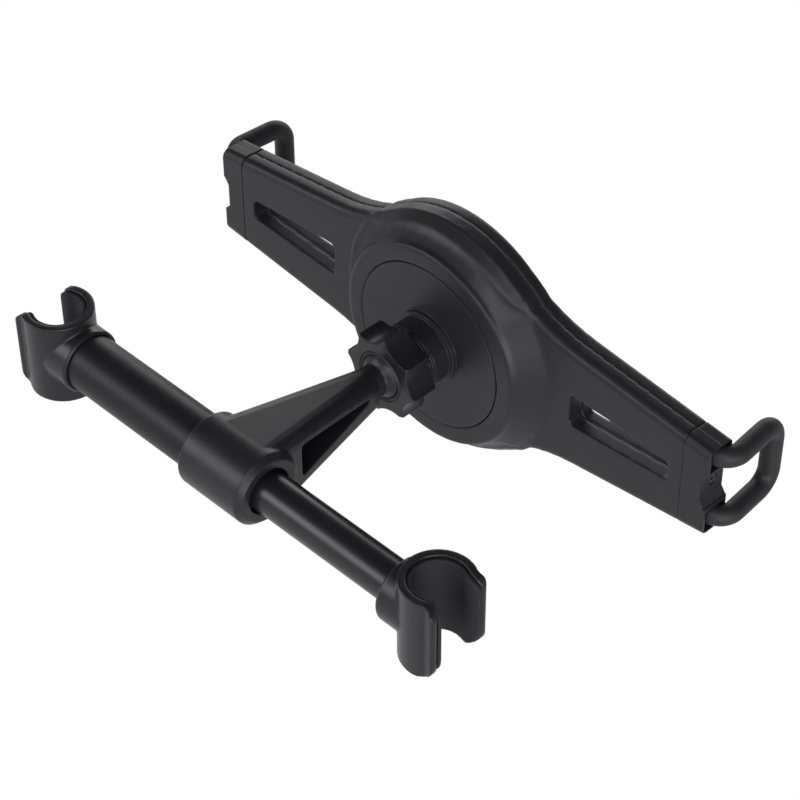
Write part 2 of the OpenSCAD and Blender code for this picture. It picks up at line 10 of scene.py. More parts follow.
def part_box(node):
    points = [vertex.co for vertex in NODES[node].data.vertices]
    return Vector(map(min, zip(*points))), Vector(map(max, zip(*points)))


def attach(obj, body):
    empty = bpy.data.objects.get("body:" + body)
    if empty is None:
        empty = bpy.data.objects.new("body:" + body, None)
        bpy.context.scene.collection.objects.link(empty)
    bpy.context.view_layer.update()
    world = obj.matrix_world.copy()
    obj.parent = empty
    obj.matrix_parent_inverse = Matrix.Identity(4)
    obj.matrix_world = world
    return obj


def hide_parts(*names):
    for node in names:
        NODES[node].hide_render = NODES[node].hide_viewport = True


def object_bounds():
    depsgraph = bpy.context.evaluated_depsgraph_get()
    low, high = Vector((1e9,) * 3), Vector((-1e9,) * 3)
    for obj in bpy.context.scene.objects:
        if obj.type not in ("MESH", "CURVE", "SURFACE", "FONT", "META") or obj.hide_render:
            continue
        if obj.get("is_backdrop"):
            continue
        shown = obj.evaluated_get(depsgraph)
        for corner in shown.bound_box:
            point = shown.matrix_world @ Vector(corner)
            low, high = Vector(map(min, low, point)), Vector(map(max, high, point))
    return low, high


bl_info = {
    "name": "Headrest tablet mount",
    "version": (1, 0, 0),
    "blender": (4, 5, 0),
    "location": "View3D > Sidebar > Mount",
    "description": "Finishes, pieces and studio for the packed headrest tablet mount",
    "category": "Object",
}

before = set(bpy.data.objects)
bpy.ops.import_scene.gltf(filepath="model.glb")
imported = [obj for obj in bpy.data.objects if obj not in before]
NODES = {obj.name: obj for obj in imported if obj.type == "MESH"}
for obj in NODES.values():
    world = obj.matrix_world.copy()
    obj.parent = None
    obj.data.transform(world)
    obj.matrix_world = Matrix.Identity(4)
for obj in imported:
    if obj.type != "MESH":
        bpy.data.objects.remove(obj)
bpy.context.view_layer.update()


def middle(node):
    """Centre of a CAD node's box."""
    low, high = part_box(node)
    return (low + high) / 2


def reach(node, axis, side):
    """One face of a CAD node's box along an axis, 0 for the low side and 1 for the high."""
    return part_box(node)[side][axis]


BALL = Vector((middle("ball_front_ring").x, 0.0, middle("ball_front_ring").z))
KNOB_BACK = reach("lock_knob", 1, 1)
# radius of the plain neck that carries the thread
NECK_RADIUS = 0.0108
# a millimetre in the frame's metres; the values below are in millimetres
MM = 0.001
TUBE_START = reach("outer_tube", 0, 0) / MM
HOOK_PITCH = (reach("left_hook", 0, 0) + reach("right_hook", 0, 1)) / MM
TUBE_RADIUS = reach("outer_tube", 1, 1) / MM
ROD_RADIUS = reach("inner_rod", 1, 1) / MM
ARM_REACH = reach("arm", 1, 1) / MM


# Sizes and colours

class FinishSettings(bpy.types.PropertyGroup):
    plastic_colour: FloatVectorProperty(
        name="Plastic colour", description="Base colour of the moulded black plastic",
        subtype="COLOR", size=3, min=0, max=1, default=(0.0100, 0.0096, 0.0124))
    plastic_roughness: FloatProperty(
        name="Plastic roughness", description="Mean roughness of the moulded plastic",
        min=0, max=1, default=0.42)
    grain_height: FloatProperty(
        name="Grain height", description="Strength of the moulded grain",
        min=0, max=1, default=0.16)
    tube_colour: FloatVectorProperty(
        name="Tube colour", description="Base colour of the coated tube and rod",
        subtype="COLOR", size=3, min=0, max=1, default=(0.0080, 0.0076, 0.0102))
    tube_roughness: FloatProperty(
        name="Tube roughness", description="Mean roughness of the coated tube and rod",
        min=0, max=1, default=0.40)
    rubber_colour: FloatVectorProperty(
        name="Rubber colour", description="Base colour of the liners and pads",
        subtype="COLOR", size=3, min=0, max=1, default=(0.0112, 0.0108, 0.0130))
    rubber_roughness: FloatProperty(
        name="Rubber roughness", description="Mean roughness of the rubber",
        min=0, max=1, default=0.72)
    coating_roughness: FloatProperty(
        name="Coating roughness", description="Mean roughness of the dipped coating on the wires",
        min=0, max=1, default=0.5)
    edge_round: FloatProperty(
        name="Edge rounding", description="Rounding that light sees on the moulded edges",
        unit="LENGTH", min=0, max=0.002, default=0.0006)


def millimetres(name, description, low, high, default):
    """Setting for a size that the outlines take in millimetres."""
    return FloatProperty(name=name, description=description + ", in millimetres", min=low, max=high,
                         default=default)


def degrees(name, description, low, high, default):
    """Setting for an angle."""
    low, high, default = (math.radians(value) for value in (low, high, default))
    return FloatProperty(name=name, description=description, unit="ROTATION", min=low, max=high,
                         default=default)


class PieceSettings(bpy.types.PropertyGroup):
    thread_pitch: FloatProperty(
        name="Thread pitch", description="Rise of the socket's thread in one turn",
        unit="LENGTH", min=0.0006, max=0.004, default=0.0010)
    thread_height: FloatProperty(
        name="Thread height", description="Height of the thread above the neck",
        unit="LENGTH", min=0.0001, max=0.001, default=0.00028)
    wire_diameter: FloatProperty(
        name="Wire diameter", description="Diameter over the coating of the jaw wires",
        unit="LENGTH", min=0.004, max=0.008, default=0.0065)
    wire_bend: FloatProperty(
        name="Wire bend", description="Radius of the wire's bends",
        unit="LENGTH", min=0.004, max=0.01, default=0.0056)
    bend_steps: IntProperty(
        name="Bend steps", description="Steps in each bend of the wire",
        min=4, max=24, default=14)
    flank_reach: millimetres("Flank reach", "How far the flank ends outside the rim's cut", 0, 3, 1.5)
    rim_rise: millimetres("Rim rise", "How far the upper rim stands out of the solid's", 0, 2, 1.1)
    knob_turn: degrees("Knob turn", "Turn of the knob's flutes from the solid's", 0, 45, 31.8)
    post_radius: millimetres("Post radius", "Bore of a hook's liner", 5, 9, 7.3)
    shell_inner: millimetres("Hook inside", "Inner radius of a hook", 6, 11, 8.65)
    hook_outer: millimetres("Hook outside", "Outer radius of a hook", 7, 14, 11.05)
    hook_up: millimetres("Hook above", "Height of a hook above the bar", 8, 20, 13.5)
    hook_down: millimetres("Hook below", "Height of a hook below the bar", 8, 20, 14.8)
    half_gap: degrees("Half gap", "Half of the angle of a hook's opening", 40, 80, 67)
    lip_radius: millimetres("Lip radius", "Radius of the outward lips", 2.8, 6, 3.4)
    lip_turn: degrees("Lip turn", "Angle through which the lips turn outwards", 17, 63, 52)
    lip_end: millimetres("Lip end", "Straight length at the end of a lip", 0.1, 3, 0.3)
    tip_high: millimetres("Upper tip", "Rounding of a prong's upper corner", 1, 9, 5.5)
    tip_low: millimetres("Lower tip", "Rounding of a prong's lower corner", 1, 9, 7.5)
    collar_radius: millimetres("Collar radius", "Radius of the collar beside a hook", 9, 14, 10.3)
    collar_reach: millimetres("Collar reach", "Reach of the collar from the post", 12, 20, 14.0)
    hub_radius: millimetres("Hub radius", "Outside radius of the arm's hub", 10.6, 16, 11.9)
    hub_width: millimetres("Hub width", "Width of the hub along the bar", 18, 40, 26.0)
    hub_chamfer: millimetres("Hub chamfer", "Chamfer of the hub's outer rim", 0.3, 2.5, 1.8)
    beam_end: millimetres("Beam end", "Distance at which the neck starts", 36, 56, 51.0)
    beam_round: millimetres("Beam rounding", "Rounding of the beam's upper edges", 1, 5, 4.4)
    neck_radius: millimetres("Neck radius", "Radius of the neck behind the ball", 4, 6, 5.2)
    web: millimetres("Web", "Thickness of the web between the pockets", 2, 8, 4.0)
    ball_radius: millimetres("Ball radius", "Radius of the ball", 7.5, 9, 8.5)


class StudioSettings(bpy.types.PropertyGroup):
    focal: FloatProperty(
        name="Focal length", description="Focal length of the camera on a 36 mm frame",
        min=20, max=300, default=109.38)
    key_power: FloatProperty(
        name="Key light", description="Power of the large light at the front left",
        unit="POWER", min=0, max=500, default=8.0)
    back_power: FloatProperty(
        name="Back light", description="Power of the light behind the cradle",
        unit="POWER", min=0, max=500, default=5.5)
    front_power: FloatProperty(
        name="Front light", description="Power of the light in front of the bar",
        unit="POWER", min=0, max=500, default=8.0)
    right_power: FloatProperty(
        name="Right light", description="Power of the low light at the front right",
        unit="POWER", min=0, max=500, default=13.0)
    horizon_light: FloatProperty(
        name="Horizon light", description="Brightness of the surround near the horizon",
        min=0, max=2, default=0.35)
    ceiling_light: FloatProperty(
        name="Ceiling light", description="Brightness of the surround overhead",
        min=0, max=2, default=0.08)
    mirrored_ceiling: FloatProperty(
        name="Mirrored ceiling", description="Brightness overhead that glossy surfaces mirror",
        min=0, max=1, default=0.07)
    floor_mirrored: FloatProperty(
        name="Mirrored floor", description="Share of plain white in the floor that glossy surfaces mirror",
        min=0, max=1, default=0.15)
    floor_colour: FloatVectorProperty(
        name="Floor colour", description="Colour of the pale floor",
        subtype="COLOR", size=3, min=0, max=1, default=(0.9, 0.9, 0.9))


# Shader maths written as expressions

class Wire:
    """A socket of a node tree that takes part in sums and products."""

    def __init__(self, tree, socket):
        self.tree = tree
        self.socket = socket

    def joined(self, operation, other, swap=False):
        node = self.tree.tree.nodes.new("ShaderNodeMath")
        node.operation = operation
        first, second = (other, self) if swap else (self, other)
        for slot, value in zip(node.inputs, (first, second)):
            self.tree.feed(slot, value)
        return Wire(self.tree, node.outputs[0])

    def __add__(self, other):
        return self.joined("ADD", other)

    def __radd__(self, other):
        return self.joined("ADD", other, swap=True)

    def __sub__(self, other):
        return self.joined("SUBTRACT", other)

    def __rsub__(self, other):
        return self.joined("SUBTRACT", other, swap=True)

    def __mul__(self, other):
        return self.joined("MULTIPLY", other)

    def __rmul__(self, other):
        return self.joined("MULTIPLY", other, swap=True)


class Finish:
    """A material whose nodes are added by type, settings and socket values."""

    def __init__(self, name, **fixed):
        self.material = bpy.data.materials.new(name)
        self.material.use_nodes = True
        self.tree = self.material.node_tree
        self.shader = self.tree.nodes["Principled BSDF"]
        for socket, value in fixed.items():
            self.shader.inputs[socket.replace("_", " ")].default_value = value

    def feed(self, slot, value):
        if isinstance(value, Wire):
            self.tree.links.new(value.socket, slot)
        else:
            slot.default_value = value

    def node(self, kind, out=0, settings=None, **sockets):
        made = self.tree.nodes.new(kind)
        for key, value in (settings or {}).items():
            setattr(made, key, value)
        for key, value in sockets.items():
            self.feed(made.inputs[key.replace("_", " ")], value)
        return Wire(self, made.outputs[out])

    def spread(self, value, low, high, new_low, new_high):
        """Value taken from one range to another and kept inside it."""
        made = self.tree.nodes.new("ShaderNodeMapRange")
        self.feed(made.inputs[0], value)
        for slot, number in zip(made.inputs[1:5], (low, high, new_low, new_high)):
            slot.default_value = number
        return Wire(self, made.outputs[0])

    def blend(self, factor, a, b):
        """Mix of two colours."""
        made = self.tree.nodes.new("ShaderNodeMix")
        made.data_type = "RGBA"
        self.feed(made.inputs[0], factor)
        for slot, colour in zip((made.inputs[6], made.inputs[7]), (a, b)):
            self.feed(slot, colour if isinstance(colour, Wire) else (*colour, 1.0))
        return Wire(self, made.outputs[2])

    def set(self, socket, value):
        self.feed(self.shader.inputs[socket], value)

    def place(self):
        """Position on the piece, in its own coordinates."""
        return self.node("ShaderNodeTexCoord", out=3)

    def noise(self, at, scale, detail=2.0, rough=0.5):
        return self.node("ShaderNodeTexNoise", Vector=at, Scale=scale, Detail=detail, Roughness=rough)

    def stretched(self, at, x, y, z):
        return self.node("ShaderNodeMapping", Vector=at, Scale=(x, y, z))

    def soft_edges(self, radius):
        """Normal with rounded edges, and a mask that is 1 along them, for colour made lighter along the
        edges.
        """
        rounded = self.node("ShaderNodeBevel", settings={"samples": 4}, Radius=radius)
        flat = self.node("ShaderNodeNewGeometry", out=1)
        dot = self.tree.nodes.new("ShaderNodeVectorMath")
        dot.operation = "DOT_PRODUCT"
        self.feed(dot.inputs[0], rounded)
        self.feed(dot.inputs[1], flat)
        return rounded, self.spread(Wire(self, dot.outputs[1]), 0.80, 1.0, 1.0, 0.0)


def scaled(colour, factor):
    return tuple(min(1.0, c * factor) for c in colour)


def moulded(name, colour, rough, grain, edge, cell=5200.0):
    """Satin moulded plastic: fine spark grain, faint flow marks and a painted highlight along its edges."""
    f = Finish(name, IOR=1.5, Specular_IOR_Level=0.24)
    at = f.place()
    normal, rim = f.soft_edges(edge)
    flow = f.noise(at, 38.0, 3.0)
    patch = f.noise(at, 240.0, 2.0)
    fine = f.noise(at, cell, 2.0, 0.6) * 0.6 + f.noise(at, cell * 0.4, 2.0, 0.5) * 0.4
    dust = f.spread(f.noise(at, 900.0, 4.0, 0.7), 0.62, 0.74, 0.0, 1.0)
    base = f.blend(f.spread(flow, 0.35, 0.65, 0.0, 1.0), scaled(colour, 0.93), scaled(colour, 1.08))
    # painted highlight: the colour is made lighter along the edges
    base = f.blend(rim * 0.35, base, scaled(colour, 2.3))
    base = f.blend(dust * 0.12, base, scaled(colour, 1.8))
    f.set("Base Color", base)
    f.set("Roughness", rough + (patch - 0.5) * 0.10 + (fine - 0.5) * 0.10 - rim * 0.06)
    f.set("Normal", f.node("ShaderNodeBump", Strength=grain, Distance=0.00006, Height=fine, Normal=normal))
    return f.material


def coated_metal(name, colour, rough, edge, mirror):
    """Smooth dark coating on drawn tube, with faint lines along the bar."""
    f = Finish(name, IOR=1.5, Specular_IOR_Level=mirror)
    at = f.place()
    normal, rim = f.soft_edges(edge)
    lines = f.noise(f.stretched(at, 0.03, 1, 1), 1500.0, 3.0, 0.6)
    patch = f.noise(at, 70.0, 3.0)
    rubs = f.spread(f.noise(f.stretched(at, 0.12, 1, 1), 420.0, 4.0, 0.65), 0.60, 0.72, 0.0, 1.0)
    base = f.blend(patch, scaled(colour, 0.9), scaled(colour, 1.12))
    # painted highlight: the colour is made lighter along the edges
    base = f.blend(rim * 0.5, base, scaled(colour, 3.0))
    f.set("Base Color", base)
    f.set("Roughness", rough + (patch - 0.5) * 0.12 + (lines - 0.5) * 0.08 + rubs * 0.05)
    f.set("Normal", f.node("ShaderNodeBump", Strength=0.10, Distance=0.00004, Height=lines, Normal=normal))
    return f.material


def rubber(name, colour, rough, edge, cell=3600.0):
    """Matt rubber with an open pore, patchy tone and a painted highlight along its edges."""
    f = Finish(name, IOR=1.48, Specular_IOR_Level=0.22)
    at = f.place()
    normal, rim = f.soft_edges(edge)
    pores = f.noise(at, cell, 3.0, 0.65)
    patch = f.noise(at, 160.0, 3.0)
    base = f.blend(patch, scaled(colour, 0.85), scaled(colour, 1.2))
    # painted highlight: the colour is made lighter along the edges
    base = f.blend(rim * 0.3, base, scaled(colour, 2.0))
    f.set("Base Color", base)
    f.set("Roughness", rough + (patch - 0.5) * 0.14 + (pores - 0.5) * 0.12)
    f.set("Normal", f.node("ShaderNodeBump", Strength=0.28, Distance=0.00008, Height=pores, Normal=normal))
    return f.material


def screw_metal(name):
    """Blackened steel with turning marks, its colour lighter along the edges."""
    f = Finish(name, Metallic=0.85)
    at = f.place()
    normal, rim = f.soft_edges(0.0002)
    marks = f.noise(at, 2600.0, 3.0)
    # colour made lighter along the edges, mixed with the turning marks
    f.set("Base Color", f.blend(rim * 0.7 + (marks - 0.5) * 0.2, (0.05, 0.05, 0.052), (0.32, 0.31, 0.30)))
    f.set("Roughness", 0.38 + (marks - 0.5) * 0.2)
    f.set("Normal", f.node("ShaderNodeBump", Strength=0.12, Distance=0.00005, Height=marks, Normal=normal))
    return f.material


def finishes():
    return bpy.context.scene.mount_finish


def pieces():
    return bpy.context.scene.mount_pieces


def dress(names, material):
    """Gives CAD nodes their finish, in the slots that they came with."""
    for name in names:
        mesh = NODES[name].data
        if not mesh.materials:
            mesh.materials.append(material)
        for i in range(len(mesh.materials)):
            mesh.materials[i] = material


def new_piece(name, points, faces, material, smooth=True):
    """Mesh object at the origin, with its place in its points."""
    mesh = bpy.data.meshes.new(name)
    mesh.from_pydata([tuple(p) for p in points], [], faces)
    mesh.update()
    mesh.materials.append(material)
    if smooth:
        for polygon in mesh.polygons:
            polygon.use_smooth = True
    made = bpy.data.objects.new(name, mesh)
    bpy.context.scene.collection.objects.link(made)
    return made


def bake(obj):
    """Keeps what the modifiers make as the object's own mesh."""
    bpy.context.view_layer.update()
    seen = obj.evaluated_get(bpy.context.evaluated_depsgraph_get())
    mesh = bpy.data.meshes.new_from_object(seen)
    obj.modifiers.clear()
    obj.data = mesh


def soften(obj, voxel, passes, keep):
    """Fuses the bodies of an object into one skin and relaxes its edges and corners."""
    skin = obj.modifiers.new("skin", "REMESH")
    skin.mode = "VOXEL"
    skin.voxel_size = voxel
    skin.adaptivity = 0.0
    relax = obj.modifiers.new("relax", "SMOOTH")
    relax.factor = 0.5
    relax.iterations = passes
    thin = obj.modifiers.new("thin", "DECIMATE")
    thin.ratio = keep
    bake(obj)


def stand_in(obj, node, body):
    """Lets a finished mesh stand for a CAD node, in the node's material."""
    mesh = obj.data
    mesh.materials.clear()
    mesh.materials.append(NODES[node].data.materials[0])
    for polygon in mesh.polygons:
        polygon.use_smooth = True
        polygon.material_index = 0
    obj.name = node + "_moulding"
    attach(obj, body)
    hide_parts(node)


def relaxed(node, voxel, passes, keep):
    """Piece that stands for a moulded node: its solid remeshed, with edges and corners relaxed."""
    made = bpy.data.objects.new(node + "_moulding", NODES[node].data.copy())
    bpy.context.scene.collection.objects.link(made)
    soften(made, voxel, passes, keep)
    return made


# Closed bodies from outlines, with sizes in millimetres

def loose(points, faces):
    """Closed body in the scene that isn't a piece yet."""
    mesh = bpy.data.meshes.new("loose")
    mesh.from_pydata([tuple(Vector(p) * MM) for p in points], [], faces)
    made = bpy.data.objects.new("loose", mesh)
    bpy.context.scene.collection.objects.link(made)
    outward(made)
    return made


def prism(outline, axis, low, high):
    """Flat outline drawn out along an axis."""
    n = len(outline)
    points = []
    for level in (low, high):
        for flat in outline:
            p = list(flat)
            p.insert(axis, level)
            points.append(p)
    faces = [tuple(range(n)), tuple(range(n, 2 * n))]
    faces += [(i, (i + 1) % n, n + (i + 1) % n, n + i) for i in range(n)]
    return loose(points, faces)


def turned(profile, axis, at=(0, 0, 0), steps=96):
    """Profile of (radius, distance) points turned about an axis."""
    n = len(profile)
    points = []
    for i in range(steps):
        a = 2 * math.pi * i / steps
        for radius, along in profile:
            p = [radius * math.cos(a), radius * math.sin(a)]
            p.insert(axis, along)
            points.append([p[k] + at[k] for k in range(3)])
    faces = []
    for i in range(steps):
        j = (i + 1) % steps
        faces += [(i * n + k, i * n + (k + 1) % n, j * n + (k + 1) % n, j * n + k) for k in range(n)]
    return loose(points, faces)


def round_bar(radius, axis, low, high, at=(0, 0, 0)):
    """Plain cylinder along an axis."""
    return turned([(0, low), (radius, low), (radius, high), (0, high)], axis, at)


def carved(body, tools, operation="DIFFERENCE"):
    """Body with the tools taken out of it, or kept to what it shares with them."""
    for tool in tools:
        step = body.modifiers.new("carve", "BOOLEAN")
        step.operation = operation
        step.solver = "EXACT"
        step.object = tool
    bake(body)
    for tool in tools:
        bpy.data.objects.remove(tool)
    return body


def fused(bodies):
    """One object that holds several bodies."""
    work = bmesh.new()
    for body in bodies:
        work.from_mesh(body.data)
    mesh = bpy.data.meshes.new("fused")
    work.to_mesh(mesh)
    work.free()
    for body in bodies[1:]:
        bpy.data.objects.remove(body)
    bodies[0].data = mesh
    return bodies[0]


def rounded(points, radii, steps=6):
    """Outline with a round at each corner."""
    made = []
    n = len(points)
    for i in range(n):
        corner, r = Vector(points[i]), radii[i]
        before = (Vector(points[i - 1]) - corner).normalized()
        after = (Vector(points[(i + 1) % n]) - corner).normalized()
        half = math.acos(max(-1.0, min(1.0, before.dot(after)))) / 2
        centre = corner + (before + after).normalized() * (r / math.sin(half))
        start = corner + before * (r / math.tan(half)) - centre
        end = corner + after * (r / math.tan(half)) - centre
        turn = start.angle_signed(end)
        for k in range(steps + 1):
            made.append(tuple(centre + Matrix.Rotation(-turn * k / steps, 2) @ start))
    return made


def outward(obj):
    """Merges doubles and turns the faces outwards."""
    work = bmesh.new()
    work.from_mesh(obj.data)
    bmesh.ops.remove_doubles(work, verts=work.verts, dist=1e-7)
    bmesh.ops.recalc_face_normals(work, faces=work.faces)
    work.to_mesh(obj.data)
    work.free()


class MOUNT_OT_finishes(bpy.types.Operator):
    """Gives the carried-over nodes their finishes"""
    bl_idname = "mount.finishes"
    bl_label = "Finishes"

    def execute(self, context):
        s = finishes()
        thin = s.edge_round / 2
        bare = (0.02, 0.02, 0.02)
        shell = moulded("shell plastic", s.plastic_colour, s.plastic_roughness, s.grain_height, s.edge_round)
        fine = moulded("knob plastic", scaled(s.plastic_colour, 0.95), s.plastic_roughness - 0.10,
                       s.grain_height * 0.6, s.edge_round * 0.4, cell=7000.0)
        hook = moulded("hook plastic", s.plastic_colour, s.plastic_roughness - 0.10,
                       s.grain_height * 0.6, s.edge_round * 0.4)
        arm = moulded("arm plastic", s.plastic_colour, s.plastic_roughness - 0.04,
                      s.grain_height * 0.8, s.edge_round * 0.5)
        tube = coated_metal("tube coating", s.tube_colour, s.tube_roughness, thin, mirror=0.15)
        rod = coated_metal("rod coating", s.tube_colour, s.tube_roughness - 0.10, thin, mirror=0.30)
        liner = rubber("liner rubber", s.rubber_colour, s.rubber_roughness, thin)
        bearing = moulded("bearing plastic", bare, 0.5, 0.1, s.edge_round / 3)
        dress(["rear_shell", "front_shell", "socket_disc", "left_slide", "right_slide"], shell)
        dress(["arm"], arm)
        dress(["left_hook", "right_hook"], hook)
        dress(["lock_knob"], fine)
        dress(["outer_tube"], tube)
        dress(["inner_rod"], rod)
        dress(["left_hook_liner", "right_hook_liner", "front_pads"], liner)
        dress(["tube_bush", "rod_stop", "ball_front_ring", "ball_rear_cup", "pinion"], bearing)
        dress(["shell_screws", "left_block_screw", "right_block_screw"], screw_metal("screw steel"))
        return {"FINISHED"}


class MOUNT_OT_mouldings(bpy.types.Operator):
    """Relaxes the edges of the shells and the knob, as they come out of a tool"""
    bl_idname = "mount.mouldings"
    bl_label = "Mouldings"

    def execute(self, context):
        for node, voxel, passes, keep in (("rear_shell", 0.00050, 5, 0.4), ("front_shell", 0.00055, 4, 0.3)):
            stand_in(relaxed(node, voxel, passes, keep), node, "cradle")
        knob = relaxed("lock_knob", voxel=0.00022, passes=3, keep=0.35)
        turn = Matrix.Translation(BALL) @ Matrix.Rotation(-pieces().knob_turn, 4, "Y")
        knob.data.transform(turn @ Matrix.Translation(-BALL))
        stand_in(knob, "lock_knob", "knob")
        return {"FINISHED"}


def smooth(value, low, high):
    """Soft step from 0 at low to 1 at high."""
    t = max(0.0, min(1.0, (value - low) / (high - low)))
    return t * t * (3 - 2 * t)


class MOUNT_OT_flank(bpy.types.Operator):
    """Runs the cradle's round flank straight down to the rim, also where the rim cuts it"""
    bl_idname = "mount.flank"
    bl_label = "Cradle flank"
    # the solid's flank, in millimetres: radii at its top and foot, its height, depth of the finished rim
    top, foot, height, rim = 34.9, 42.5, 8.6, 11.2
    # its outline: round middle, shoulder arc with its centre, and the straight taper of the arms
    middle_radius, shoulder_radius = 40.0, 57.0
    shoulder_x, shoulder_z = 57.19, 78.35
    arm_height, arm_taper = 27.6, 0.116
    # where the shoulder and the arm start, and the straight stretches in which the solid follows the arcs
    shoulder_start, arm_start = 23.58, 50.62
    middle_steps, shoulder_steps = 4, 6
    # the rim's cut lies inside the outline, and the flank ends at a depth below the round face
    cut_inset, flank_end = 0.7, 9.4
    # the upper rim stands out less where the outline runs wider
    rise_width, rise_fade = 42.0, 2.4
    # bands in which the moves fade in and out: at the outline, on the round face and towards the arms
    edge_start, edge_full = 9.0, 3.0
    face_start, face_full = 30.0, 34.6
    side_start, side_end = 29.0, 36.0

    def half_height(self, x):
        """Half height of the cradle's outline at a distance from its middle."""
        if x < self.shoulder_start:
            return math.sqrt(self.middle_radius ** 2 - x * x)
        if x < self.arm_start:
            return self.shoulder_z - math.sqrt(self.shoulder_radius ** 2 - (x - self.shoulder_x) ** 2)
        return self.arm_height - self.arm_taper * x

    def chord(self, x):
        """Half height of the solid's outline, which runs straight between its stations."""
        first, length = self.shoulder_start, self.arm_start - self.shoulder_start
        steps = [first * i / self.middle_steps for i in range(self.middle_steps + 1)]
        steps += [first + length * i / self.shoulder_steps for i in range(1, self.shoulder_steps + 1)]
        for a, b in zip(steps, steps[1:]):
            if x < b:
                k = (x - a) / (b - a)
                return self.half_height(a) * (1 - k) + self.half_height(b) * k
        return self.half_height(x)

    def edge(self, angle):
        """Distance from the middle to the outline in a direction."""
        low, high = 20.0, 60.0
        for _ in range(16):
            r = (low + high) / 2
            if r * abs(math.sin(angle)) < self.half_height(r * abs(math.cos(angle))):
                low = r
            else:
                high = r
        return low

    def push(self, s, depth, cap, above):
        """Outward move of a point at a depth below the round face, in millimetres."""
        if depth <= 0:
            return 0.0
        slope = (self.foot - self.top) / self.height
        low = cap - self.cut_inset
        end = min(low + s.flank_reach, self.top + slope * self.flank_end)
        if depth < self.flank_end:
            solid = min(self.top + slope * depth, low)
            return self.top + (end - self.top) * depth / self.flank_end - solid
        side = s.rim_rise * smooth(self.rise_width - low, 0.0, self.rise_fade) if above else 0.0
        last = end - min(self.top + slope * self.flank_end, low)
        return last + (side - last) * smooth(depth, self.flank_end, self.rim)

    def bowed(self, x, z):
        """Height of a point whose straight stretch of the outline is bent to the arc."""
        half = self.half_height(abs(x))
        if abs(z) <= half - self.edge_start:
            return z
        share = smooth(abs(z), half - self.edge_start, half - self.edge_full)
        return z + math.copysign((half - self.chord(abs(x))) * share, z)

    def execute(self, context):
        s = pieces()
        table = [self.edge(math.radians(i)) for i in range(91)]
        face = reach("rear_shell", 1, 0)
        for node in ("rear_shell", "front_shell"):
            mesh = bpy.data.objects[node + "_moulding"].data
            for vertex in mesh.vertices:
                x = (vertex.co.x - BALL.x) / MM
                z = self.bowed(x, (vertex.co.z - BALL.z) / MM)
                vertex.co.z = BALL.z + z * MM
                r = math.hypot(x, z)
                hold = smooth(r, self.face_start, self.face_full)
                if hold == 0.0 or abs(x) > self.side_end:
                    continue
                angle = min(89.999, math.degrees(math.atan2(abs(z), abs(x))))
                i = int(angle)
                cap = table[i] + (table[i + 1] - table[i]) * (angle - i)
                fade = hold * (1 - smooth(abs(x), self.side_start, self.side_end))
                move = fade * self.push(s, (vertex.co.y - face) / MM, cap, z > 0)
                vertex.co.x += x / r * move * MM
                vertex.co.z += z / r * move * MM
            mesh.update()
        return {"FINISHED"}


